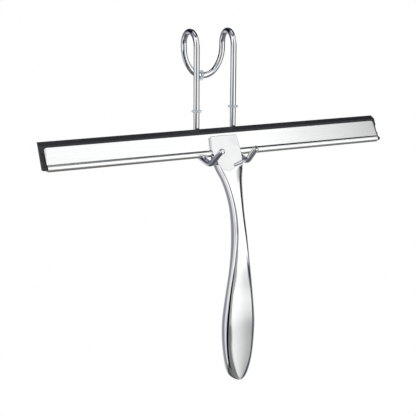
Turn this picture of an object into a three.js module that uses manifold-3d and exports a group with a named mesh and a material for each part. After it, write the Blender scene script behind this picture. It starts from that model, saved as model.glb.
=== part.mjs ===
// A shower squeegee hanging in its over-the-door hook.
//
// Millimetres, +Z up, +X along the blade, front towards -Y. The origin is the middle of the door's top
// edge, right under the two bends of the hook's wire.

import * as THREE from 'three';
import Module from 'manifold-3d';
import { mergeVertices } from 'three/addons/utils/BufferGeometryUtils.js';

const wasm = await Module();
wasm.setup();

// ---- driving dimensions ----------------------------------------------------------------------------

const gap = 0.3; // clearance between pieces that touch

// Over-door hook: one wire, bent symmetrically about X = 0
const wireRadius = 2.5;
const doorGap = 17.5; // clear space between the legs and the rear loop
const legX = 16.75; // half the spacing of the legs and of the two front hooks
const rearLoopX = 17.7; // half the width of the rear loop
const rearLoopBottom = -34.7; // height of the wire's centre line at the bottom of the loop
const hookHeel = { y: -10, z: -96.5 }; // where the legs, leaning in towards the door, turn forwards
const hookFoot = { y: -36, z: -100.9 }; // lowest corner of a front hook
const hookTip = { x: 15, y: -54.2, z: -86.6 };

// Clear rings that cushion the wire against the glass
const ringCord = 0.8; // radius of the ring's own cord
const ringHeights = { left: -61, right: -59 };
const rearRingAngle = -7; // degrees round the bottom of the rear loop

// Head: folded channel and rubber blade, leaning back against the legs
const headLean = 25.65; // degrees
const headPosition = new THREE.Vector3(0, -22.25, -78.7); // top edge of the channel's front face
const channelLength = 299.6;
const sheet = 0.9;
const channelDepth = 6.2; // front face to back face
const backLegTop = -3;
const heel = { z: -16.9, radius: 1.5 }; // step under the blade, and the bend behind it, on the sheet's middle
const bead = { y: 0.8, z: -16, radius: 2.8 }; // round bead along the channel's lower edge
const bladeLength = 306.4;
const bladeFrontTop = 2.2;
const bladeBackTop = 6.45;
const screw = { x: 7, z: -7, radius: 1.5, headRadius: 2.75, headHeight: 0.6, reach: 3.7 };

// Handle: front surface in the plane X = 0, then sizes at distances along it (all from the head's corner)
const handleFront = [[-4.1, -0.9], [-10.7, -12.6], [-18.8, -24.6], [-27.4, -42.5], [-33.6, -61], [-37.6, -80],
  [-38.5, -100], [-38, -125], [-37.8, -150], [-36.7, -172], [-35.7, -202.6]];
const handleHalfWidth = [[0, 12.1], [16, 13.2], [27, 11.8], [37, 8.8], [50, 6.7], [66, 5.7], [84, 6.3],
  [105, 8.1], [142, 12.8], [163, 14.4], [210, 12.7]];
const handleCorner = [[0, 0.5], [30, 1.8], [90, 2.3], [140, 4], [170, 4.6], [210, 4.6]]; // front corner radius
const handleCornerTurn = [[0, 84], [28, 68], [210, 68]]; // degrees from the front to where the side starts
const handleThickness = [[0, 8], [30, 8.6], [56, 8.7], [84, 10], [119, 8], [158, 10.3], [190, 9.4], [210, 11.8]];
const handleCrown = 0.45;
const handleTip = { length: 46, power: 3 }; // rounded lower end, fuller than an ellipse (power 2)

// ---- curves ----------------------------------------------------------------------------------------

/** Circular arc that rounds off one corner of a path. */
class CornerArc extends THREE.Curve {
  constructor(centre, from, to) {
    super();
    Object.assign(this, { centre, from, to, angle: from.angleTo(to) });
  }

  getPoint(t) {
    const a = Math.sin((1 - t) * this.angle) / Math.sin(this.angle);
    const b = Math.sin(t * this.angle) / Math.sin(this.angle);
    return this.centre.clone().addScaledVector(this.from, a).addScaledVector(this.to, b);
  }
}

/** Path through corner points, each corner rounded to its own radius. */
function roundedPath(corners) {
  const path = new THREE.CurvePath();
  let start = corners[0].point;
  for (let i = 1; i < corners.length - 1; i += 1) {
    const { point, radius } = corners[i];
    const back = corners[i - 1].point.clone().sub(point).normalize();
    const ahead = corners[i + 1].point.clone().sub(point).normalize();
    const halfAngle = back.angleTo(ahead) / 2;
    const enter = point.clone().addScaledVector(back, radius / Math.tan(halfAngle));
    const leave = point.clone().addScaledVector(ahead, radius / Math.tan(halfAngle));
    const centre = back.clone().add(ahead).setLength(radius / Math.sin(halfAngle)).add(point);
    path.add(new THREE.LineCurve3(start, enter));
    path.add(new CornerArc(centre, enter.clone().sub(centre), leave.clone().sub(centre)));
    start = leave;
  }
  path.add(new THREE.LineCurve3(start, corners[corners.length - 1].point));
  return path;
}

/** Smooth value at x through [x, value] stations, level at both ends. */
function smooth(stations, x) {
  const last = stations.length - 1;
  const slope = (i) => (i === 0 || i === last ? 0
    : (stations[i + 1][1] - stations[i - 1][1]) / (stations[i + 1][0] - stations[i - 1][0]));
  const i = Math.max(0, Math.min(last - 1, stations.findLastIndex((station) => station[0] <= x)));
  const span = stations[i + 1][0] - stations[i][0];
  const t = Math.min(1, (x - stations[i][0]) / span);
  return stations[i][1] * (1 + 2 * t) * (1 - t) ** 2 + slope(i) * span * t * (1 - t) ** 2
    + stations[i + 1][1] * t * t * (3 - 2 * t) + slope(i + 1) * span * t * t * (t - 1);
}

/** Points on a circle in the YZ plane, from one angle to another, in degrees. */
function arcPoints(centre, radius, from, to, steps) {
  return Array.from({ length: steps + 1 }, (_, i) => {
    const angle = THREE.MathUtils.degToRad(from + (to - from) * i / steps);
    return new THREE.Vector2(centre.y + radius * Math.cos(angle), centre.z + radius * Math.sin(angle));
  });
}

// ---- solids ----------------------------------------------------------------------------------------

/** Prism along X of an outline drawn in (y, z), centred on X = 0. */
function prismAlongX(outline, length) {
  const geometry = new THREE.ExtrudeGeometry(new THREE.Shape(outline), { depth: length, bevelEnabled: false });
  geometry.translate(0, 0, -length / 2);
  const turn = new THREE.Matrix4().makeBasis(
    new THREE.Vector3(0, 1, 0), new THREE.Vector3(0, 0, 1), new THREE.Vector3(1, 0, 0));
  return geometry.applyMatrix4(turn);
}

/** Outline of a folded sheet whose middle runs along the given points. */
function sheetOutline(middle, thickness) {
  const side = (sign) => middle.map((point, i) => {
    const before = point.clone().sub(middle[Math.max(0, i - 1)]).normalize();
    const after = middle[Math.min(middle.length - 1, i + 1)].clone().sub(point).normalize();
    const along = before.clone().add(after).normalize();
    const stretch = i === 0 || i === middle.length - 1 ? 1 : along.dot(after);
    return point.clone().add(new THREE.Vector2(-along.y, along.x).multiplyScalar(sign * thickness / 2 / stretch));
  });
  return [...side(1), ...side(-1).reverse()];
}

/** Closed skin over a row of rings that all have the same number of points. */
function loft(rings) {
  const around = rings[0].length;
  const index = [];
  for (let i = 0; i < rings.length - 1; i += 1) {
    for (let j = 0; j < around; j += 1) {
      const a = i * around + j;
      const b = i * around + (j + 1) % around;
      index.push(a, b + around, b, a, a + around, b + around);
    }
  }
  const lastRing = (rings.length - 1) * around;
  for (let j = 1; j < around - 1; j += 1) {
    index.push(0, j, j + 1, lastRing, lastRing + j + 1, lastRing + j);
  }
  const geometry = new THREE.BufferGeometry().setFromPoints(rings.flat());
  geometry.setIndex(index);
  return geometry;
}

/** Turned solid about the Y axis, its profile given as [radius, y] from one end of the axis to the other. */
function turnedAboutY(profile, segments) {
  return new THREE.LatheGeometry(profile.map(([radius, y]) => new THREE.Vector2(radius, y)), segments);
}

function toManifold(geometry) {
  const plain = geometry.clone();
  plain.deleteAttribute('normal');
  plain.deleteAttribute('uv');
  const merged = mergeVertices(plain, 1e-4);
  return new wasm.Manifold(new wasm.Mesh({
    numProp: 3,
    vertProperties: merged.attributes.position.array,
    triVerts: new Uint32Array(merged.index.array),
  }));
}

/** First geometry with all the others cut away from it. */
function cut(geometry, ...tools) {
  const result = tools.reduce((solid, tool) => solid.subtract(toManifold(tool)), toManifold(geometry)).getMesh();
  const cutGeometry = new THREE.BufferGeometry();
  cutGeometry.setAttribute('position', new THREE.BufferAttribute(new Float32Array(result.vertProperties), 3));
  cutGeometry.setIndex(new THREE.BufferAttribute(new Uint32Array(result.triVerts), 1));
  return cutGeometry;
}

// ---- materials -------------------------------------------------------------------------------------

const polishedChrome = { color: 0xd9dce0, metalness: 1, roughness: 0.08 };
const satinSteel = { color: 0xc9cacb, metalness: 1, roughness: 0.35 };
const blackRubber = { color: 0x26282a, metalness: 0, roughness: 0.6 };
const clearSilicone = { color: 0xdce8f2, metalness: 0, roughness: 0.25 };
const zincPlate = { color: 0xb4b7ba, metalness: 1, roughness: 0.3 };

function piece(name, geometry, finish) {
  geometry.computeVertexNormals();
  const mesh = new THREE.Mesh(geometry, new THREE.MeshStandardMaterial(finish));
  mesh.name = name;
  return mesh;
}

// ---- over-door hook --------------------------------------------------------------------------------

const bendRadius = doorGap / 2 + wireRadius; // of the wire's centre line, over the door
const loopBottomRadius = 14.65;
const loopShoulderRadius = 29;
const loopBottomX = 7.2; // the loop's lower corners
const loopShoulderZ = rearLoopBottom + 13.6;

/** Corners of half the wire, from the tip of a front hook to the middle of the rear loop. */
function halfWire(side) {
  const corner = (x, y, z, radius) => ({ point: new THREE.Vector3(side * x, y, z), radius });
  return [
    corner(hookTip.x, hookTip.y, hookTip.z),
    corner(legX, hookFoot.y, hookFoot.z, 11),
    corner(legX, hookHeel.y, hookHeel.z, 6),
    corner(legX, -bendRadius, wireRadius, bendRadius),
    corner(rearLoopX, bendRadius, wireRadius, bendRadius),
    corner(rearLoopX, bendRadius, loopShoulderZ, loopShoulderRadius),
    corner(loopBottomX, bendRadius, rearLoopBottom, loopBottomRadius),
  ];
}

function hookWire() {
  const path = roundedPath([...halfWire(-1), ...halfWire(1).reverse()]);
  const steps = 150;
  const section = new THREE.Shape().absarc(0, 0, wireRadius, 0, 2 * Math.PI);
  return piece('hook_wire', new THREE.ExtrudeGeometry(section, {
    curveSegments: 10,
    steps,
    bevelEnabled: false,
    extrudePath: new THREE.CatmullRomCurve3(path.getSpacedPoints(steps)),
  }), polishedChrome);
}

/** Clear ring round the wire, its axis along Z. */
function ring(name) {
  return piece(name, new THREE.TorusGeometry(wireRadius + gap + ringCord, ringCord, 8, 24), clearSilicone);
}

/** Height on a leg turned into a point on its centre line. */
function legPoint(side, z) {
  const fromTop = (z - wireRadius) / (hookHeel.z - wireRadius);
  return new THREE.Vector3(side * legX, THREE.MathUtils.lerp(-bendRadius, hookHeel.y, fromTop), z);
}

function hookRings() {
  const left = ring('left_leg_ring');
  left.position.copy(legPoint(-1, ringHeights.left));
  const right = ring('right_leg_ring');
  right.position.copy(legPoint(1, ringHeights.right));
  const rear = ring('rear_loop_ring');
  const angle = THREE.MathUtils.degToRad(rearRingAngle);
  rear.position.set(
    loopBottomRadius * Math.sin(angle), bendRadius, rearLoopBottom + loopBottomRadius * (1 - Math.cos(angle)));
  rear.rotation.y = Math.PI / 2 - angle;
  return [left, right, rear];
}

// ---- head ------------------------------------------------------------------------------------------
// Drawn upright in (y, z): z = 0 at the channel's top edge, y = 0 at its front face.

/** Middle of the folded sheet: front leg, bead, step under the blade, back leg. */
function channelMiddle() {
  const radius = bead.radius - sheet / 2;
  const frontY = sheet / 2;
  const backY = channelDepth - sheet / 2;
  const frontAngle = THREE.MathUtils.radToDeg(Math.acos((frontY - bead.y) / radius));
  const heelAngle = THREE.MathUtils.radToDeg(Math.asin((heel.z - bead.z) / radius));
  return [
    new THREE.Vector2(frontY, 0),
    ...arcPoints(bead, radius, frontAngle, heelAngle + 360, 14),
    ...arcPoints({ y: backY - heel.radius, z: heel.z + heel.radius }, heel.radius, 270, 360, 3),
    new THREE.Vector2(backY, backLegTop),
  ];
}

/** Cylinder along Y, for a screw hole in the front leg and the handle. */
function screwHole(x, from, to, radius) {
  const hole = new THREE.CylinderGeometry(radius, radius, to - from, 20);
  return hole.translate(x, (from + to) / 2, screw.z);
}

function channel() {
  const body = prismAlongX(sheetOutline(channelMiddle(), sheet), channelLength);
  const holes = [-screw.x, screw.x].map((x) => screwHole(x, -1, 2, screw.radius + gap));
  return piece('channel', cut(body, ...holes), satinSteel);
}

/** Rubber blade: slanted wiping edge on top, bead at the bottom, groove that clears the screw heads. */
function blade() {
  const front = sheet + gap;
  const back = channelDepth - sheet - gap;
  const beadRadius = bead.radius - sheet - gap - 0.05;
  const bottom = heel.z + sheet / 2 + gap;
  const beadFront = THREE.MathUtils.radToDeg(Math.acos((front - bead.y) / beadRadius));
  const beadBack = THREE.MathUtils.radToDeg(Math.asin((bottom - bead.z) / beadRadius));
  const grooveDepth = front + screw.headHeight + gap;
  const grooveHalf = screw.headRadius + gap;
  const cornerRadius = heel.radius / 2;
  const point = (y, z) => new THREE.Vector2(y, z);
  return piece('rubber_blade', prismAlongX([
    point(front, bladeFrontTop),
    point(front, screw.z + grooveHalf),
    point(grooveDepth, screw.z + grooveHalf),
    point(grooveDepth, screw.z - grooveHalf),
    point(front, screw.z - grooveHalf),
    ...arcPoints(bead, beadRadius, beadFront, beadBack + 360, 12),
    ...arcPoints({ y: back - cornerRadius, z: bottom + cornerRadius }, cornerRadius, 270, 360, 3),
    point(back, bladeBackTop),
  ], bladeLength), blackRubber);
}

/** Low-head screw from inside the channel into the handle, its shank towards -Y. */
function handleScrew(name, x) {
  const { radius, headRadius, headHeight, reach } = screw;
  const socketRadius = 1;
  const socketDepth = 0.4;
  const mesh = piece(name, turnedAboutY([
    [0, -reach], [radius - 0.3, -reach], [radius, -reach + 0.3], [radius, 0], [headRadius, 0],
    [headRadius, headHeight - 0.3], [headRadius - 0.3, headHeight],
    [socketRadius, headHeight], [socketRadius, headHeight - socketDepth], [0, headHeight - socketDepth],
  ], 20), zincPlate);
  mesh.position.set(x, sheet + gap, screw.z);
  return mesh;
}

// ---- handle ----------------------------------------------------------------------------------------

/** One cross-section: [x, depth behind the front edge], from the middle of the front round by the right. */
function handleSection(along, length) {
  const fromTip = Math.min(1, Math.max(0, 1 - (length - along) / handleTip.length));
  const round = (1 - fromTip ** handleTip.power) ** (1 / handleTip.power);
  const width = Math.max(0.4, smooth(handleHalfWidth, along) * round);
  const drawn = Math.max(5, width); // drawn this wide, then squeezed to its width
  const thickness = smooth(handleThickness, along) * (0.45 + 0.55 * round);
  const corner = Math.min(0.4 * thickness, smooth(handleCorner, along));
  const turned = THREE.MathUtils.degToRad(smooth(handleCornerTurn, along));
  const back = 0.3 * thickness;
  const side = (thickness - corner * (1 - Math.cos(turned)) - back) / Math.cos(turned); // radius of the bulge
  const crownEdge = drawn - corner * Math.sin(turned) - side * (1 - Math.sin(turned));
  const start = Math.atan(2 * handleCrown * round / crownEdge);
  const flat = crownEdge + corner * Math.sin(start);

  const half = [[flat / 2, -0.75 * handleCrown * round], [flat, 0]];
  const arc = (radius, from, to, steps) => {
    const [x, depth] = half[half.length - 1];
    for (let i = 1; i <= steps; i++) {
      const a = from + (to - from) * i / steps;
      half.push([x + radius * (Math.sin(a) - Math.sin(from)), depth + radius * (Math.cos(from) - Math.cos(a))]);
    }
  };
  arc(corner, start, turned, 4);
  arc(side, turned, Math.PI / 2, 2);
  arc(back, Math.PI / 2, Math.PI, 2);
  const squeezed = half.map(([x, depth]) => [x * width / drawn, depth]);
  return [[0, -handleCrown * round], ...squeezed, ...squeezed.map(([x, depth]) => [-x, depth]).reverse()];
}

function handleBody() {
  const spine = new THREE.CatmullRomCurve3(handleFront.map(([y, z]) => new THREE.Vector3(0, y, z)));
  const length = spine.getLength();
  const stations = 44;
  const rings = Array.from({ length: stations + 1 }, (_, i) => {
    const t = 1 - (1 - i / stations) ** 1.6; // stations close up towards the rounded tip
    const centre = spine.getPointAt(t);
    const tangent = spine.getTangentAt(t);
    const backwards = new THREE.Vector3(0, -tangent.z, tangent.y);
    return handleSection(t * length, length)
      .map(([x, depth]) => new THREE.Vector3(x, 0, 0).add(centre).addScaledVector(backwards, depth));
  });
  return loft(rings);
}

/** Space that the channel takes out of the handle, drawn upright like the head. */
function channelClearance() {
  const radius = bead.radius + gap;
  const frontAngle = THREE.MathUtils.radToDeg(Math.acos((-gap - bead.y) / radius));
  const far = 30;
  const point = (y, z) => new THREE.Vector2(y, z);
  return prismAlongX([
    point(-gap, far), ...arcPoints(bead, radius, frontAngle, 270, 10), point(far, bead.z - radius), point(far, far),
  ], 2 * far);
}

function handle() {
  const lean = new THREE.Matrix4().makeRotationX(-THREE.MathUtils.degToRad(headLean));
  const holes = [-screw.x, screw.x]
    .map((x) => screwHole(x, sheet + gap - screw.reach - gap, 2, screw.radius + gap));
  const tools = [channelClearance(), ...holes].map((tool) => tool.applyMatrix4(lean));
  return piece('handle', cut(handleBody(), ...tools), polishedChrome);
}

// ---- assembly --------------------------------------------------------------------------------------

const head = new THREE.Group();
head.rotation.x = -THREE.MathUtils.degToRad(headLean);
head.add(channel(), blade(), handleScrew('left_screw', -screw.x), handleScrew('right_screw', screw.x));

const squeegee = new THREE.Group();
squeegee.position.copy(headPosition);
squeegee.add(head, handle());

const hook = new THREE.Group();
hook.add(hookWire(), ...hookRings());

const assembly = new THREE.Group();
assembly.add(hook, squeegee);

export default assembly;
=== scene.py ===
"""Looks of a shower squeegee hanging in its over-door hook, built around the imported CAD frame.

Sizes are in millimetres in the row frame: +X along the blade, front towards -Y, +Z up, and the origin in
the middle of the door's top edge. Each piece is scaled to metres when its mesh is made.
"""

import math

import bmesh
import bpy
from mathutils import Matrix, Vector


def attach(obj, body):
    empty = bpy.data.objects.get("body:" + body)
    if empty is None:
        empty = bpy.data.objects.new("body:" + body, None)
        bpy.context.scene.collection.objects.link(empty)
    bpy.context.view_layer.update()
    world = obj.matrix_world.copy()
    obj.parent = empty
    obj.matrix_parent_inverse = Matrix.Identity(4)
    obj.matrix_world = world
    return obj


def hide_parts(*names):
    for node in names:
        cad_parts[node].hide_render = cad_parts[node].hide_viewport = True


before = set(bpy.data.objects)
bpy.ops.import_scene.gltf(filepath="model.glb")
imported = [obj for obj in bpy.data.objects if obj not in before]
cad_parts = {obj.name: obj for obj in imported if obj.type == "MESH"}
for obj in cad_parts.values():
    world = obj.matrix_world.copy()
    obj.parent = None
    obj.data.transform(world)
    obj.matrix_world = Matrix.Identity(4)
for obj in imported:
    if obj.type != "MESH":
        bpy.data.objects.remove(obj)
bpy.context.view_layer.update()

MM = 0.001
GAP = 0.3  # clearance between pieces that touch

# ---- driving dimensions, as in the CAD source --------------------------------------------------------

WIRE_RADIUS = 2.5
BEND_RADIUS = 11.25  # of the wire's centre line, over the door
LEG_X = 16.75
REAR_LOOP_X = 17.7
HOOK_HEEL = Vector((0, -10, -96.5))
HOOK_FOOT = Vector((0, -36, -100.9))
HOOK_TIP = Vector((15, -54.2, -86.6))
LOOP_BOTTOM_X = 7.2
LOOP_BOTTOM_Z = -34.7
LOOP_BOTTOM_RADIUS = 14.65
LOOP_SHOULDER_Z = LOOP_BOTTOM_Z + 13.6
LOOP_SHOULDER_RADIUS = 29

RING_CORD = 0.8
RING_HEIGHTS = {"left_leg_ring": -61, "right_leg_ring": -59}
REAR_RING_ANGLE = math.radians(-7)

HEAD_LEAN = math.radians(25.65)
HEAD_POSITION = Vector((0, -22.25, -78.7))
HEAD_TURN = Matrix.Rotation(-HEAD_LEAN, 4, "X")
HEAD_MATRIX = Matrix.Translation(HEAD_POSITION) @ HEAD_TURN
CHANNEL_LENGTH = 299.6
SHEET = 0.9
CHANNEL_DEPTH = 6.2
BACK_LEG_TOP = -3
HEEL_Z, HEEL_RADIUS = -16.9, 1.5
BEAD_Y, BEAD_Z, BEAD_RADIUS = 0.8, -16, 2.8
BLADE_LENGTH = 306.4
BLADE_FRONT_TOP, BLADE_BACK_TOP = 2.2, 6.45
SCREW_X, SCREW_Z, SCREW_RADIUS = 7, -7, 1.5
SCREW_HEAD_RADIUS, SCREW_HEAD_HEIGHT, SCREW_REACH = 2.75, 0.6, 3.7

# Handle, fitted to the photo's outline: (y, z) points of its front line in the plane x = 0, measured from
# the head's top edge, and then (distance along that line, value) stations.
HANDLE_FRONT = [(-4.1, -0.9), (-10.7, -12.6), (-18.8, -24.6), (-27.4, -42.5), (-33.6, -61), (-37.6, -80),
                (-38.5, -100), (-38, -125), (-37.8, -150), (-36.7, -172), (-35.7, -202.6)]
HANDLE_HALF_WIDTH = [(0, 12.1), (16, 13.2), (27, 11.8), (37, 8.8), (50, 6.7), (66, 5.7), (84, 6.3),
                     (105, 8.1), (142, 12.8), (163, 14.4), (210, 12.7)]
HANDLE_CORNER = [(0, 0.5), (30, 1.8), (90, 2.3), (140, 4), (170, 4.6), (210, 4.6)]  # front corner radius
HANDLE_CORNER_TURN = [(0, 84), (28, 68), (210, 68)]  # degrees from the front to where the side starts
HANDLE_THICKNESS = [(0, 8), (30, 8.6), (56, 8.7), (84, 10), (119, 8), (158, 10.3), (190, 9.4), (210, 11.8)]
HANDLE_CROWN = 0.45  # how far the middle of the front stands out
HANDLE_TIP_LENGTH, HANDLE_TIP_POWER = 46, 3  # rounded lower end, fuller than an ellipse (power 2)
HANDLE_TIP_SHARE = 0.45  # of the thickness, left at the very tip
HANDLE_BACK_SHARE = 0.3  # radius of the back corners, as a share of the thickness
HANDLE_CORNER_LIMIT = 0.4  # largest front corner, as a share of the thickness

# ---- values for the looks only -----------------------------------------------------------------------

SHARP_ANGLE = math.radians(35)  # edges sharper than this stay sharp in the shading
CHANNEL_CORNER = 1.5  # radius of the top corners of the channel's front leg
CORNER_HEIGHTS = (0, -0.25, -0.6, -1, -CHANNEL_CORNER)  # where the rounded corners are followed
NOISE_RANGE = (0.3, 0.7)  # where nearly all of a noise texture's values lie


# ---- curves ------------------------------------------------------------------------------------------

def smooth(stations, x):
    """Smooth value at x through (x, value) stations, level at both ends."""
    last = len(stations) - 1

    def slope(i):
        if i in (0, last):
            return 0
        (x0, v0), (x1, v1) = stations[i - 1], stations[i + 1]
        return (v1 - v0) / (x1 - x0)

    i = max(0, min(last - 1, sum(station[0] <= x for station in stations) - 1))
    (x0, v0), (x1, v1) = stations[i], stations[i + 1]
    span = x1 - x0
    t = min(1, (x - x0) / span)
    return (v0 * (1 + 2 * t) * (1 - t) ** 2 + slope(i) * span * t * (1 - t) ** 2
            + v1 * t * t * (3 - 2 * t) + slope(i + 1) * span * t * t * (t - 1))


def arc_points(centre, radius, start, end, steps):
    """Points (y, z) on a circle from one angle to another, in degrees."""
    angles = [math.radians(start + (end - start) * i / steps) for i in range(steps + 1)]
    return [(centre[0] + radius * math.cos(a), centre[1] + radius * math.sin(a)) for a in angles]


def circle_angles(steps):
    """Angles of evenly spaced points round a circle, in radians."""
    return [2 * math.pi * i / steps for i in range(steps)]


def rounded_path(corners, arc_steps=16, line_steps=6):
    """Points of a path through (point, radius) corners, each rounded to its own radius."""
    path = []

    def add_line(start, end):
        path.extend(start.lerp(end, i / line_steps) for i in range(line_steps))

    start = corners[0][0]
    for (before, _), (point, radius), (after, _) in zip(corners, corners[1:], corners[2:]):
        back = (before - point).normalized()
        ahead = (after - point).normalized()
        half_angle = back.angle(ahead) / 2
        enter = point + back * radius / math.tan(half_angle)
        leave = point + ahead * radius / math.tan(half_angle)
        centre = point + (back + ahead).normalized() * radius / math.sin(half_angle)
        add_line(start, enter)
        turn = (enter - centre).angle(leave - centre)
        for i in range(arc_steps):
            a = math.sin((1 - i / arc_steps) * turn) / math.sin(turn)
            b = math.sin(i / arc_steps * turn) / math.sin(turn)
            path.append(centre + (enter - centre) * a + (leave - centre) * b)
        start = leave
    add_line(start, corners[-1][0])
    path.append(corners[-1][0])
    return path


def catmull_rom(points, steps):
    """Dense points along a smooth curve through the given ones."""
    ends = [points[0] * 2 - points[1], *points, points[-1] * 2 - points[-2]]
    curve = []
    for p0, p1, p2, p3 in zip(ends, ends[1:], ends[2:], ends[3:]):
        for i in range(steps):
            t = i / steps
            curve.append(0.5 * (2 * p1 + (p2 - p0) * t + (2 * p0 - 5 * p1 + 4 * p2 - p3) * t * t
                                + (3 * p1 - p0 - 3 * p2 + p3) * t ** 3))
    return [*curve, points[-1]]


# ---- meshes ------------------------------------------------------------------------------------------

def finish_mesh(name, mesh_data, material, body, node):
    """Turns a bmesh in millimetres into a piece that stands for a CAD node and rides on its body."""
    bmesh.ops.recalc_face_normals(mesh_data, faces=mesh_data.faces)
    bmesh.ops.scale(mesh_data, vec=(MM, MM, MM), verts=mesh_data.verts)
    mesh = bpy.data.meshes.new(name)
    mesh_data.to_mesh(mesh)
    mesh_data.free()
    mesh.polygons.foreach_set("use_smooth", [True] * len(mesh.polygons))
    mesh.set_sharp_from_angle(angle=SHARP_ANGLE)
    mesh.materials.append(material)
    piece = bpy.data.objects.new(name, mesh)
    bpy.context.scene.collection.objects.link(piece)
    # Without this, a large flat face is shaded as if it curved into the bevels round it.
    keep_flat = piece.modifiers.new("keep_flat", "WEIGHTED_NORMAL")
    keep_flat.keep_sharp = True
    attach(piece, body)
    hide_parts(node)
    return piece


def skin(rings, closed=False):
    """bmesh skin over a row of rings with the same number of points, its ends filled unless it closes."""
    mesh_data = bmesh.new()
    rows = [[mesh_data.verts.new(point) for point in ring] for ring in rings]
    pairs = list(zip(rows, rows[1:] + rows[:1] if closed else rows[1:]))
    for row, next_row in pairs:
        for j in range(len(row)):
            k = (j + 1) % len(row)
            mesh_data.faces.new((row[j], row[k], next_row[k], next_row[j]))
    if not closed:
        mesh_data.faces.new(reversed(rows[0]))
        mesh_data.faces.new(rows[-1])
    return mesh_data


def bevel_sharp(mesh_data, width, angle=40, segments=3):
    """Rounds every edge sharper than the angle."""
    mesh_data.normal_update()
    sharp = [edge for edge in mesh_data.edges
             if len(edge.link_faces) == 2 and edge.calc_face_angle(0) > math.radians(angle)]
    bmesh.ops.bevel(mesh_data, geom=sharp, offset=width, segments=segments, profile=0.5,
                    affect="EDGES", clamp_overlap=True)
    return mesh_data


def prism_along_x(outline, half_lengths):
    """bmesh prism along X of an outline in (y, z), with the half length for each of its points."""
    left = [Vector((-half, y, z)) for (y, z), half in zip(outline, half_lengths)]
    right = [Vector((half, y, z)) for (y, z), half in zip(outline, half_lengths)]
    return skin([left, right])


def turned_along_y(profile, sides):
    """bmesh solid turned about Y, its profile given as (radius, y)."""
    angles = circle_angles(sides)
    return skin([[Vector((radius * math.cos(a), y, radius * math.sin(a))) for a in angles]
                 for radius, y in profile])


def cut_away(mesh_data, tools, merge_distance=0.002):
    """The first solid with the tools taken out of it."""
    def as_object(solid):
        mesh = bpy.data.meshes.new("cut")
        bmesh.ops.recalc_face_normals(solid, faces=solid.faces)
        solid.to_mesh(mesh)
        solid.free()
        scratch = bpy.data.objects.new("cut", mesh)
        bpy.context.scene.collection.objects.link(scratch)
        return scratch

    body = as_object(mesh_data)
    scratch = [as_object(tool) for tool in tools]
    for tool in scratch:
        boolean = body.modifiers.new("cut", "BOOLEAN")
        boolean.operation = "DIFFERENCE"
        boolean.solver = "EXACT"
        boolean.object = tool
    result = bmesh.new()
    result.from_object(body, bpy.context.evaluated_depsgraph_get())
    for used in [body, *scratch]:
        bpy.data.objects.remove(used)
    bmesh.ops.remove_doubles(result, verts=result.verts, dist=merge_distance)
    return result


# ---- materials ---------------------------------------------------------------------------------------

def new_material(name, **values):
    """Material with one Principled shader, and the values that are the same all over set on its sockets."""
    material = bpy.data.materials.new(name)
    material.use_nodes = True
    shader = material.node_tree.nodes["Principled BSDF"]
    for socket, value in values.items():
        shader.inputs[socket.replace("_", " ")].default_value = value
    return material, material.node_tree, shader


def noise(tree, scale, stretch=(1, 1, 1), detail=4, roughness=0.5):
    """Noise over the object's own coordinates, in metres, stretched along some axes."""
    coordinates = tree.nodes.new("ShaderNodeTexCoord")
    mapping = tree.nodes.new("ShaderNodeMapping")
    mapping.inputs["Scale"].default_value = stretch
    texture = tree.nodes.new("ShaderNodeTexNoise")
    texture.inputs["Scale"].default_value = scale
    texture.inputs["Detail"].default_value = detail
    texture.inputs["Roughness"].default_value = roughness
    tree.links.new(coordinates.outputs["Object"], mapping.inputs["Vector"])
    tree.links.new(mapping.outputs["Vector"], texture.inputs["Vector"])
    return texture.outputs["Fac"]


def ramp(tree, factor, stops):
    """Colour ramp through (position, colour) stops."""
    node = tree.nodes.new("ShaderNodeValToRGB")
    elements = node.color_ramp.elements
    while len(elements) < len(stops):
        elements.new(0.5)
    for element, (position, colour) in zip(elements, stops):
        element.position = position
        element.color = (*colour, 1)
    tree.links.new(factor, node.inputs["Fac"])
    return node.outputs["Color"]


def tones(tree, factor, dark, light):
    """Colour that runs from dark to light over a noise."""
    return ramp(tree, factor, list(zip(NOISE_RANGE, (dark, light))))


def spread(tree, factor, low, high):
    """A noise turned into a range of values."""
    node = tree.nodes.new("ShaderNodeMapRange")
    node.inputs["From Min"].default_value = NOISE_RANGE[0]
    node.inputs["From Max"].default_value = NOISE_RANGE[1]
    node.inputs["To Min"].default_value = low
    node.inputs["To Max"].default_value = high
    tree.links.new(factor, node.inputs["Value"])
    return node.outputs["Result"]


def bump(tree, height, strength, distance):
    """Normals bent by a height; the distance is in metres."""
    node = tree.nodes.new("ShaderNodeBump")
    node.inputs["Strength"].default_value = strength
    node.inputs["Distance"].default_value = distance
    tree.links.new(height, node.inputs["Height"])
    return node.outputs["Normal"]


def chrome_material(name, dull, bright, waviness):
    """Polished chrome plate: faint clouding, hairline differences in polish and slow waves in the surface."""
    material, tree, shader = new_material(name, Metallic=1.0)
    clouds = noise(tree, 60, detail=3)
    polish = noise(tree, 900, detail=5)
    waves = noise(tree, 140, detail=1)
    tree.links.new(tones(tree, clouds, dull, bright), shader.inputs["Base Color"])
    tree.links.new(spread(tree, polish, 0.03, 0.075), shader.inputs["Roughness"])
    tree.links.new(bump(tree, waves, waviness, 0.0002), shader.inputs["Normal"])
    return material


def satin_steel_material():
    """Stainless steel brushed lengthwise, its fine lines along X."""
    material, tree, shader = new_material("satin_steel", Metallic=1.0)
    lines = noise(tree, 1500, stretch=(0.012, 1, 1), detail=6, roughness=0.6)
    patches = noise(tree, 35, stretch=(0.25, 1, 1), detail=2)
    tone = tones(tree, lines, (0.85, 0.855, 0.86), (0.93, 0.935, 0.935))
    tree.links.new(tone, shader.inputs["Base Color"])
    tree.links.new(spread(tree, patches, 0.15, 0.22), shader.inputs["Roughness"])
    tree.links.new(bump(tree, lines, 0.1, 0.00002), shader.inputs["Normal"])
    return material


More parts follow.
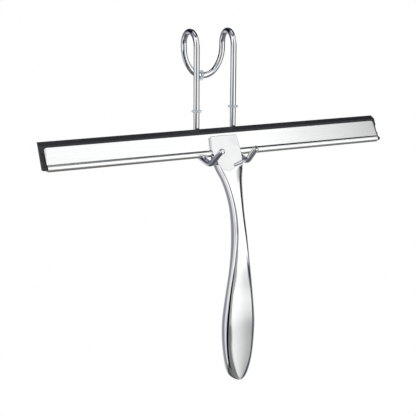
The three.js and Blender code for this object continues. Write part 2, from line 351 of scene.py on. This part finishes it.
def rubber_material():
    """Black moulded rubber: matt, with a fine grain and faint lengthwise streaks from moulding."""
    material, tree, shader = new_material("black_rubber", Metallic=0.0)
    streaks = noise(tree, 500, stretch=(0.02, 1, 1), detail=4)
    grain = noise(tree, 2500, detail=4)
    tone = tones(tree, streaks, (0.016, 0.018, 0.021), (0.034, 0.037, 0.040))
    tree.links.new(tone, shader.inputs["Base Color"])
    tree.links.new(spread(tree, streaks, 0.42, 0.58), shader.inputs["Roughness"])
    tree.links.new(bump(tree, grain, 0.3, 0.00004), shader.inputs["Normal"])
    return material


def silicone_material():
    """Clear, slightly milky silicone."""
    material, tree, shader = new_material(
        "clear_silicone", Metallic=0.0, Transmission_Weight=0.55, IOR=1.41)
    haze = noise(tree, 400, detail=3)
    tone = tones(tree, haze, (0.80, 0.86, 0.92), (0.90, 0.94, 0.97))
    tree.links.new(tone, shader.inputs["Base Color"])
    tree.links.new(spread(tree, haze, 0.18, 0.34), shader.inputs["Roughness"])
    tree.links.new(bump(tree, haze, 0.2, 0.00005), shader.inputs["Normal"])
    return material


def zinc_material():
    """Zinc plate: greyer than chrome, with a faint crystalline mottle."""
    material, tree, shader = new_material("zinc_plate", Metallic=1.0)
    mottle = noise(tree, 1200, detail=5)
    tone = tones(tree, mottle, (0.50, 0.52, 0.54), (0.66, 0.68, 0.69))
    tree.links.new(tone, shader.inputs["Base Color"])
    tree.links.new(spread(tree, mottle, 0.22, 0.38), shader.inputs["Roughness"])
    return material


WIRE_CHROME = chrome_material("wire_chrome", (0.80, 0.825, 0.85), (0.88, 0.895, 0.91), 0.05)
HANDLE_CHROME = chrome_material("handle_chrome", (0.86, 0.865, 0.87), (0.92, 0.922, 0.925), 0.02)
SATIN_STEEL = satin_steel_material()
BLACK_RUBBER = rubber_material()
CLEAR_SILICONE = silicone_material()
ZINC_PLATE = zinc_material()


# ---- over-door hook ----------------------------------------------------------------------------------

def half_wire(side):
    """Corners of half the wire, from the tip of a front hook to the middle of the rear loop."""
    def corner(x, y, z, radius=0):
        return Vector((side * x, y, z)), radius

    return [
        corner(*HOOK_TIP),
        corner(LEG_X, HOOK_FOOT.y, HOOK_FOOT.z, 11),
        corner(LEG_X, HOOK_HEEL.y, HOOK_HEEL.z, 6),
        corner(LEG_X, -BEND_RADIUS, WIRE_RADIUS, BEND_RADIUS),
        corner(REAR_LOOP_X, BEND_RADIUS, WIRE_RADIUS, BEND_RADIUS),
        corner(REAR_LOOP_X, BEND_RADIUS, LOOP_SHOULDER_Z, LOOP_SHOULDER_RADIUS),
        corner(LOOP_BOTTOM_X, BEND_RADIUS, LOOP_BOTTOM_Z, LOOP_BOTTOM_RADIUS),
    ]


def rounded_end(end, inwards, edge_radius, steps=6):
    """(point, wire radius) pairs that round off the end of a wire, from its face inwards."""
    pairs = []
    for i in range(steps + 1):
        a = math.pi / 2 * i / steps
        pairs.append((end + inwards * edge_radius * (1 - math.cos(a)),
                      WIRE_RADIUS - edge_radius * (1 - math.sin(a))))
    return pairs


def build_hook_wire(sides=36, edge_radius=1.3):
    """The whole wire: circles carried along its path without twisting, smaller at the rounded ends."""
    points = rounded_path(half_wire(-1) + half_wire(1)[::-1])
    start = rounded_end(points[0], (points[1] - points[0]).normalized(), edge_radius)
    end = rounded_end(points[-1], (points[-2] - points[-1]).normalized(), edge_radius)
    stations = start + [(point, WIRE_RADIUS) for point in points[1:-1]] + end[::-1]
    rings = []
    across = Vector((1, 0, 0))
    for i, (point, radius) in enumerate(stations):
        before = stations[max(0, i - 1)][0]
        after = stations[min(len(stations) - 1, i + 1)][0]
        along = (after - before).normalized()
        across = (across - along * across.dot(along)).normalized()
        other = along.cross(across)
        rings.append([point + (across * math.cos(a) + other * math.sin(a)) * radius
                      for a in circle_angles(sides)])
    return finish_mesh("hook_wire_plated", skin(rings), WIRE_CHROME, "hook", "hook_wire")


def build_ring(node, body, place, sections=56, sides=20):
    """Clear ring round the wire; place puts its axis from Z to where the wire runs."""
    major = WIRE_RADIUS + GAP + RING_CORD
    rings = []
    section = [Vector((major + RING_CORD * math.cos(a), 0, RING_CORD * math.sin(a)))
               for a in circle_angles(sides)]
    for angle in circle_angles(sections):
        turn = Matrix.Rotation(angle, 4, "Z")
        rings.append([place @ turn @ point for point in section])
    return finish_mesh(node + "_soft", skin(rings, closed=True), CLEAR_SILICONE, body, node)


def build_rings():
    """Two rings on the legs, which lean in towards the door, and one on the rear loop's bottom curve."""
    for side, node in ((-1, "left_leg_ring"), (1, "right_leg_ring")):
        z = RING_HEIGHTS[node]
        down = (z - WIRE_RADIUS) / (HOOK_HEEL.z - WIRE_RADIUS)
        y = -BEND_RADIUS + (HOOK_HEEL.y + BEND_RADIUS) * down
        build_ring(node, node.replace("_leg", ""), Matrix.Translation((side * LEG_X, y, z)))
    arm = LOOP_BOTTOM_RADIUS
    centre = (arm * math.sin(REAR_RING_ANGLE), BEND_RADIUS,
              LOOP_BOTTOM_Z + arm * (1 - math.cos(REAR_RING_ANGLE)))
    turn = Matrix.Rotation(math.pi / 2 - REAR_RING_ANGLE, 4, "Y")
    build_ring("rear_loop_ring", "rear_ring", Matrix.Translation(centre) @ turn)


# ---- head --------------------------------------------------------------------------------------------
# Drawn upright in (y, z): z = 0 at the channel's top edge, y = 0 at its front face.

def sheet_outline(middle, thickness):
    """Outline of a folded sheet whose middle runs along the given points."""
    points = [Vector(point) for point in middle]
    sides = ([], [])
    for i, point in enumerate(points):
        before = (point - points[i - 1]).normalized() if i else Vector((0, 0))
        after = (points[i + 1] - point).normalized() if i < len(points) - 1 else Vector((0, 0))
        along = (before + after).normalized()
        stretch = along.dot(after) if 0 < i < len(points) - 1 else 1
        across = Vector((-along.y, along.x)) * thickness / 2 / stretch
        sides[0].append(point + across)
        sides[1].append(point - across)
    return [tuple(point) for point in sides[0] + sides[1][::-1]]


def channel_middle():
    """Middle of the folded sheet: front leg, bead, step under the blade, back leg."""
    radius = BEAD_RADIUS - SHEET / 2
    front_y = SHEET / 2
    back_y = CHANNEL_DEPTH - SHEET / 2
    front_angle = math.degrees(math.acos((front_y - BEAD_Y) / radius))
    heel_angle = math.degrees(math.asin((HEEL_Z - BEAD_Z) / radius))
    support = 0.3  # from the bead to the point that keeps the face above it flat
    flat_end = BEAD_Z + radius * math.sin(math.radians(front_angle)) + support
    return [
        *[(front_y, z) for z in (*CORNER_HEIGHTS, flat_end)],
        *arc_points((BEAD_Y, BEAD_Z), radius, front_angle, heel_angle + 360, 44),
        *arc_points((back_y - HEEL_RADIUS, HEEL_Z + HEEL_RADIUS), HEEL_RADIUS, 270, 360, 8),
        (back_y, BACK_LEG_TOP),
    ]


def channel_half_length(z):
    """Half the channel's length at a height, its top corners rounded."""
    above = max(0, z + CHANNEL_CORNER)
    inset = CHANNEL_CORNER - math.sqrt(CHANNEL_CORNER ** 2 - above ** 2)
    return CHANNEL_LENGTH / 2 - inset


def screw_holes(start, end, place):
    """Holes that clear the two screws, from one depth to another in the upright head."""
    radius = SCREW_RADIUS + GAP
    holes = []
    for x in (-SCREW_X, SCREW_X):
        hole = turned_along_y([(radius, start), (radius, end)], 24)
        hole.transform(place @ Matrix.Translation((x, 0, SCREW_Z)))
        holes.append(hole)
    return holes


def build_channel():
    """Folded sheet with its screw holes and softened edges."""
    outline = sheet_outline(channel_middle(), SHEET)
    solid = prism_along_x(outline, [channel_half_length(z) for _, z in outline])
    solid.transform(HEAD_MATRIX)
    holes = screw_holes(-1, 2, HEAD_MATRIX)
    solid = bevel_sharp(cut_away(solid, holes), width=0.15, segments=2)
    return finish_mesh("channel_satin", solid, SATIN_STEEL, "squeegee", "channel")


def build_blade():
    """Rubber blade: slanted wiping edge on top, bead at the bottom, groove that clears the screw heads."""
    front = SHEET + GAP
    back = CHANNEL_DEPTH - SHEET - GAP
    bead_play = 0.05  # more room for the round bead than the flats have
    bead_radius = BEAD_RADIUS - SHEET - GAP - bead_play
    bottom = HEEL_Z + SHEET / 2 + GAP
    bead_front = math.degrees(math.acos((front - BEAD_Y) / bead_radius))
    bead_back = math.degrees(math.asin((bottom - BEAD_Z) / bead_radius))
    groove_depth = front + SCREW_HEAD_HEIGHT + GAP
    groove_half = SCREW_HEAD_RADIUS + GAP
    corner_radius = HEEL_RADIUS / 2
    outline = [
        (front, BLADE_FRONT_TOP),
        (front, SCREW_Z + groove_half),
        (groove_depth, SCREW_Z + groove_half),
        (groove_depth, SCREW_Z - groove_half),
        (front, SCREW_Z - groove_half),
        *arc_points((BEAD_Y, BEAD_Z), bead_radius, bead_front, bead_back + 360, 30),
        *arc_points((back - corner_radius, bottom + corner_radius), corner_radius, 270, 360, 6),
        (back, BLADE_BACK_TOP),
    ]
    solid = prism_along_x(outline, [BLADE_LENGTH / 2] * len(outline))
    solid.transform(HEAD_MATRIX)
    bevel_sharp(solid, width=0.12)
    return finish_mesh("rubber_blade_moulded", solid, BLACK_RUBBER, "blade", "rubber_blade")


def build_screws():
    """Low-head screws from inside the channel into the handle, each with a six-sided socket."""
    socket_radius, socket_depth = 1, 0.4
    head, shank = SCREW_HEAD_RADIUS, SCREW_RADIUS
    axis = 0.05  # the profile stops just short of the screw's axis
    edge, small_edge = 0.3, 0.1  # rounding and chamfer, chamfer under the head
    round_off = arc_points((head - edge, SCREW_HEAD_HEIGHT - edge), edge, 0, 90, 5)
    profile = [(axis, -SCREW_REACH), (shank - edge, -SCREW_REACH), (shank, -SCREW_REACH + edge),
               (shank, 0), (head - small_edge, 0), (head, small_edge), *round_off,
               (axis, SCREW_HEAD_HEIGHT)]
    for node, x in (("left_screw", -SCREW_X), ("right_screw", SCREW_X)):
        place = HEAD_MATRIX @ Matrix.Translation((x, SHEET + GAP, SCREW_Z))
        solid = turned_along_y(profile, 36)
        socket = turned_along_y([(socket_radius, SCREW_HEAD_HEIGHT - socket_depth),
                                 (socket_radius, SCREW_HEAD_HEIGHT + 1)], 6)
        solid = cut_away(solid, [socket])
        solid.transform(place)
        finish_mesh(node + "_plated", solid, ZINC_PLATE, "squeegee", node)


# ---- handle ------------------------------------------------------------------------------------------

def handle_section(along, length, shrink):
    """One cross-section of the handle as (x, depth behind the front edge), shrunk at its top edge."""
    from_tip = min(1, max(0, 1 - (length - along) / HANDLE_TIP_LENGTH))
    rounding = (1 - from_tip ** HANDLE_TIP_POWER) ** (1 / HANDLE_TIP_POWER)
    narrowest, narrowest_drawn = 0.4, 5
    width = max(narrowest, smooth(HANDLE_HALF_WIDTH, along) * rounding)
    drawn = max(narrowest_drawn, width)  # drawn this wide, then squeezed to its width
    share = HANDLE_TIP_SHARE + (1 - HANDLE_TIP_SHARE) * rounding
    thickness = smooth(HANDLE_THICKNESS, along) * share
    corner = min(HANDLE_CORNER_LIMIT * thickness, smooth(HANDLE_CORNER, along))
    turned = math.radians(smooth(HANDLE_CORNER_TURN, along))
    back = HANDLE_BACK_SHARE * thickness
    side = (thickness - corner * (1 - math.cos(turned)) - back) / math.cos(turned)  # radius of the bulge
    crown_edge = drawn - corner * math.sin(turned) - side * (1 - math.sin(turned))
    start = math.atan(2 * HANDLE_CROWN * rounding / crown_edge)
    flat = crown_edge + corner * math.sin(start)

    half = [(flat * i / 10, -HANDLE_CROWN * rounding * (1 - (i / 10) ** 2)) for i in range(11)]
    for radius, first, last, steps in ((corner, start, turned, 14), (side, turned, math.pi / 2, 8),
                                       (back, math.pi / 2, math.pi, 10)):
        x, depth = half[-1]
        for a in (first + (last - first) * i / steps for i in range(1, steps + 1)):
            half.append((x + radius * (math.sin(a) - math.sin(first)),
                         depth + radius * (math.cos(first) - math.cos(a))))
    half = [(x * (width - shrink) / drawn, depth + shrink * (1 - depth / thickness)) for x, depth in half]
    return half + [(-x, depth) for x, depth in half[:0:-1]]


def handle_body(stations=120, edge_radius=0.5, crowding=2.2):
    """Loft of the whole handle, its rings crowded towards the tip, before the channel's place is cut."""
    curve = catmull_rom([Vector((0, y, z)) for y, z in HANDLE_FRONT], 40)
    travelled = [0]
    for before, after in zip(curve, curve[1:]):
        travelled.append(travelled[-1] + (after - before).length)
    length = travelled[-1]

    def on_spine(distance):
        i = max(1, next((k for k, d in enumerate(travelled) if d >= distance), len(curve) - 1))
        share = (distance - travelled[i - 1]) / (travelled[i] - travelled[i - 1])
        return curve[i - 1].lerp(curve[i], share), (curve[i] - curve[i - 1]).normalized()

    top = [(edge_radius * (1 - math.cos(a)), edge_radius * (1 - math.sin(a)))
           for a in (math.pi / 2 * i / 5 for i in range(5))]
    rest = [(edge_radius + (length - edge_radius) * (1 - (1 - i / stations) ** crowding), 0)
            for i in range(stations + 1)]
    rings = []
    for distance, shrink in top + rest:
        centre, tangent = on_spine(min(distance, length))
        backwards = Vector((0, -tangent.z, tangent.y))
        section = handle_section(distance, length, shrink)
        rings.append([centre + Vector((x, 0, 0)) + backwards * depth for x, depth in section])
    return skin(rings)


def channel_clearance():
    """Space that the channel takes out of the handle, drawn upright like the head."""
    radius = BEAD_RADIUS + GAP
    front_angle = math.degrees(math.acos((-GAP - BEAD_Y) / radius))
    far = 30
    outline = [(-GAP, far), *arc_points((BEAD_Y, BEAD_Z), radius, front_angle, 270, 24),
               (far, BEAD_Z - radius), (far, far)]
    return prism_along_x(outline, [far] * len(outline))


def build_handle():
    """Handle with the channel's place and the two blind screw holes cut out of it."""
    hole_end = SHEET + GAP - SCREW_REACH - GAP
    tools = [channel_clearance(), *screw_holes(hole_end, 2, Matrix.Identity(4))]
    for tool in tools:
        tool.transform(HEAD_TURN)
    solid = cut_away(handle_body(), tools)
    solid.transform(Matrix.Translation(HEAD_POSITION))
    return finish_mesh("handle_plated", solid, HANDLE_CHROME, "squeegee", "handle")


build_hook_wire()
build_rings()
build_channel()
build_blade()
build_screws()
build_handle()


# ---- floor, studio light and camera -------------------------------------------------------------------

def build_floor():
    """Plain pale sweep: a floor that curves up into a backdrop behind the object."""
    floor_z, front_y, half_width, top = -420, -2500, 3000, 2500
    bend_y, bend_radius = 700, 700  # where the floor starts to curve up, and how widely
    flat = [(front_y, floor_z), (bend_y, floor_z)]
    curve = arc_points((bend_y, floor_z + bend_radius), bend_radius, 270, 360, 16)
    line = flat + curve + [(bend_y + bend_radius, top)]
    mesh_data = bmesh.new()
    rows = [[mesh_data.verts.new((x, y, z)) for y, z in line] for x in (-half_width, half_width)]
    for j in range(len(line) - 1):
        mesh_data.faces.new((rows[0][j], rows[0][j + 1], rows[1][j + 1], rows[1][j]))
    bmesh.ops.scale(mesh_data, vec=(MM, MM, MM), verts=mesh_data.verts)
    mesh = bpy.data.meshes.new("sweep")
    mesh_data.to_mesh(mesh)
    mesh_data.free()
    material, tree, shader = new_material(
        "pale_sweep", Base_Color=(0, 0, 0, 1), Roughness=1, Specular_IOR_Level=0, Emission_Strength=1)
    shade = tones(tree, noise(tree, 3, detail=2), (0.995, 0.995, 0.995), (1, 1, 1))
    tree.links.new(shade, shader.inputs["Emission Color"])
    mesh.materials.append(material)
    floor = bpy.data.objects.new("sweep", mesh)
    bpy.context.scene.collection.objects.link(floor)
    floor.visible_glossy = False


# Cards round the object, painted one over the other into the studio's surroundings. All angles are in
# degrees, azimuth 0 in front and 90 to the right: (azimuth, half width, lowest, highest, softness of the
# sides, softness of the ends, lean to the right for each degree up, colour).
CARDS = [
    (-135, 45, -80, -41, 12, 3, 0, (0.08, 0.09, 0.10)),  # table, left and behind
    (10, 45, -75, -30, 50, 8, 0, (0.14, 0.13, 0.125)),  # table, in front
    (115, 42, -34, -9, 8, 6, 0, (0.55, 0.57, 0.64)),  # low fill, right
    (84, 16, -39, -9, 8, 4, 0, (0.20, 0.21, 0.26)),  # low flag, right
    (-103, 17, -41, -5, 8, 3, 0, (0.77, 0.77, 0.81)),  # low fill, left
    (-134, 11, -41, -4, 8, 3, 0, (0.28, 0.28, 0.33)),  # low flag, left
    (-168, 16, -41, -8, 8, 3, 0, (0.60, 0.60, 0.63)),  # low light behind
    (180, 42, -9, 4, 12, 6, 0, (0.14, 0.15, 0.19)),  # wall behind
    (-155, 33, 4, 62, 12, 10, 0, (0.006, 0.006, 0.01)),  # black behind, left
    (122, 34, 14, 62, 10, 10, 0, (0.006, 0.006, 0.01)),  # black behind, right
    (165, 12, 3, 26, 8, 8, 0, (0.35, 0.35, 0.35)),  # window behind
    (-58, 38, -1, 42, 8, 8, 0, (0.62, 0.62, 0.63)),  # wall, left
    (-73, 22, -12, 42, 6, 6, 0, (1.15, 1.16, 1.18)),  # strip light, left
    (-118, 18, -3.5, 24, 8, 3, 0, (0.08, 0.09, 0.12)),  # flag, left
    (-54, 24, -46, -9, 8, 5, 0, (0.003, 0.003, 0.004)),  # black below the camera, left
    (-50, 8, -12, 6, 6, 3, 0, (0.04, 0.04, 0.04)),  # and a little higher
    (-10, 22, -46, -9, 8, 5, 0, (0.22, 0.215, 0.21)),  # grey below the camera
    (-5, 10, -9, 6, 6, 4, 0, (0.24, 0.22, 0.205)),  # round the camera
    (-20, 17, 4, 28, 8, 5, 0.7, (0.17, 0.17, 0.17)),  # above the camera
    (-2, 66, 38, 54, 20, 4, 0, (1.00, 1.00, 1.00)),  # ceiling bounce
    (31, 28, -30, 38, 8, 3, 0, (1.25, 1.25, 1.25)),  # large soft light, front right
    (47, 8, 28, 35.5, 7, 2, 0, (0.72, 0.72, 0.72)),  # its upper right, dimmer
    (30, 28, -40, -21, 6, 12, 0, (0.98, 0.98, 0.98)),  # its lower part, dimmer
    (30, 24, -44, -30, 6, 3, 0, (0.60, 0.60, 0.60)),  # its lower edge
    (50, 20, -38, -20, 26, 12, 0, (0.45, 0.45, 0.45)),  # its lower right, shaded
    (6, 16, -38, -23, 3, 4, -0.6, (0.20, 0.20, 0.20)),  # grey, trimming its lower left
    (-9.6, 21, -23, -9, 4, 4, -1, (0.42, 0.42, 0.42)),  # paler grey above that
    (59, 12, -14, 36, 5, 5, -0.1, (0.02, 0.02, 0.025)),  # its dark right edge
    (56, 14, -42, -15, 4, 4, 0, (0.03, 0.033, 0.05)),  # and lower down
    (86, 14, -9, 8, 8, 5, 0, (0.12, 0.13, 0.16)),  # flag, right
    (100, 20, 0, 14, 8, 6, 0, (0.95, 0.95, 1.00)),  # strip light, right
    (80, 11, 14, 40, 8, 8, 0, (0.90, 0.90, 0.92)),  # strip light, right, higher
]


# What lies behind the cards: (height from 0 straight down to 1 straight up, colour).
BACKDROP = [
    (0, (0.14, 0.14, 0.14)),
    (0.28, (0.22, 0.215, 0.205)),
    (0.5, (0.36, 0.36, 0.38)),
    (0.75, (0.36, 0.37, 0.40)),
    (0.83, (0.06, 0.06, 0.06)),
    (0.86, (0.06, 0.06, 0.06)),
    (0.93, (0.75, 0.75, 0.76)),
]


def math_node(tree, operation, *inputs):
    """Output of one math node, its inputs given as numbers or as other outputs."""
    node = tree.nodes.new("ShaderNodeMath")
    node.operation = operation
    for socket, value in zip(node.inputs, inputs):
        if isinstance(value, (int, float)):
            socket.default_value = value
        else:
            tree.links.new(value, socket)
    return node.outputs[0]


def window(tree, distance, half, softness):
    """1 where the distance is below half, falling to 0 over the softness."""
    node = tree.nodes.new("ShaderNodeMapRange")
    node.interpolation_type = "SMOOTHSTEP"
    node.inputs["From Min"].default_value = half + softness / 2
    node.inputs["From Max"].default_value = half - softness / 2
    tree.links.new(distance, node.inputs["Value"])
    return node.outputs["Result"]


def paint_card(tree, azimuth, elevation, below, card):
    """Colour of the surroundings with one more card over them."""
    centre, half, low, high, side_softness, end_softness, lean, colour = card
    off_middle = math_node(tree, "SUBTRACT", elevation, (low + high) / 2)
    leaning = math_node(tree, "MULTIPLY_ADD", off_middle, -lean, azimuth)
    aside = math_node(tree, "WRAP", math_node(tree, "SUBTRACT", leaning, centre), 180, -180)
    across = window(tree, math_node(tree, "ABSOLUTE", aside), half, side_softness)
    upright = window(tree, math_node(tree, "ABSOLUTE", off_middle), (high - low) / 2, end_softness)
    mix = tree.nodes.new("ShaderNodeMix")
    mix.data_type = "RGBA"
    tree.links.new(math_node(tree, "MULTIPLY", across, upright), mix.inputs["Factor"])
    tree.links.new(below, mix.inputs["A"])
    mix.inputs["B"].default_value = (*colour, 1)
    return mix.outputs["Result"]


def build_surroundings():
    """White for the camera, and for reflections a studio of soft lights and dark flags."""
    world = bpy.data.worlds.new("studio")
    bpy.context.scene.world = world
    world.use_nodes = True
    tree = world.node_tree
    nodes, links = tree.nodes, tree.links

    degree = 180 / math.pi
    coordinates = nodes.new("ShaderNodeTexCoord")
    split = nodes.new("ShaderNodeSeparateXYZ")
    links.new(coordinates.outputs["Generated"], split.inputs[0])
    elevation = math_node(tree, "MULTIPLY", math_node(tree, "ARCSINE", split.outputs["Z"]), degree)
    forwards = math_node(tree, "MULTIPLY", split.outputs["Y"], -1)
    azimuth = math_node(tree, "MULTIPLY",
                        math_node(tree, "ARCTAN2", split.outputs["X"], forwards), degree)

    height = math_node(tree, "MULTIPLY_ADD", elevation, 1 / 180, 0.5)
    colour = ramp(tree, height, BACKDROP)
    for card in CARDS:
        colour = paint_card(tree, azimuth, elevation, colour, card)

    links.new(colour, nodes["Background"].inputs["Color"])
    white = nodes.new("ShaderNodeBackground")
    white.inputs["Color"].default_value = (1, 1, 1, 1)
    path = nodes.new("ShaderNodeLightPath")
    choose = nodes.new("ShaderNodeMixShader")
    links.new(path.outputs["Is Camera Ray"], choose.inputs["Fac"])
    links.new(nodes["Background"].outputs[0], choose.inputs[1])
    links.new(white.outputs[0], choose.inputs[2])
    links.new(choose.outputs[0], nodes["World Output"].inputs["Surface"])


CAMERA_AZIMUTH = math.radians(-26.42)
CAMERA_ELEVATION = math.radians(13.94)
CAMERA_DISTANCE = 791.8
CAMERA_TARGET = Vector((-21, -40, -135.3))
CAMERA_LENS, CAMERA_SENSOR = 85, 36  # focal length and sensor width


def build_camera():
    """Camera at the photo's view, looking from its azimuth and elevation at the target."""
    data = bpy.data.cameras.new("camera")
    data.lens = CAMERA_LENS
    data.sensor_width = CAMERA_SENSOR
    camera = bpy.data.objects.new("camera", data)
    bpy.context.scene.collection.objects.link(camera)
    towards = Vector((math.sin(CAMERA_AZIMUTH) * math.cos(CAMERA_ELEVATION),
                      -math.cos(CAMERA_AZIMUTH) * math.cos(CAMERA_ELEVATION),
                      math.sin(CAMERA_ELEVATION)))
    camera.location = (CAMERA_TARGET + towards * CAMERA_DISTANCE) * MM
    camera.rotation_euler = towards.to_track_quat("Z", "Y").to_euler()
    bpy.context.scene.camera = camera


build_floor()
build_surroundings()
build_camera()
bpy.context.scene.view_settings.view_transform = "Standard"
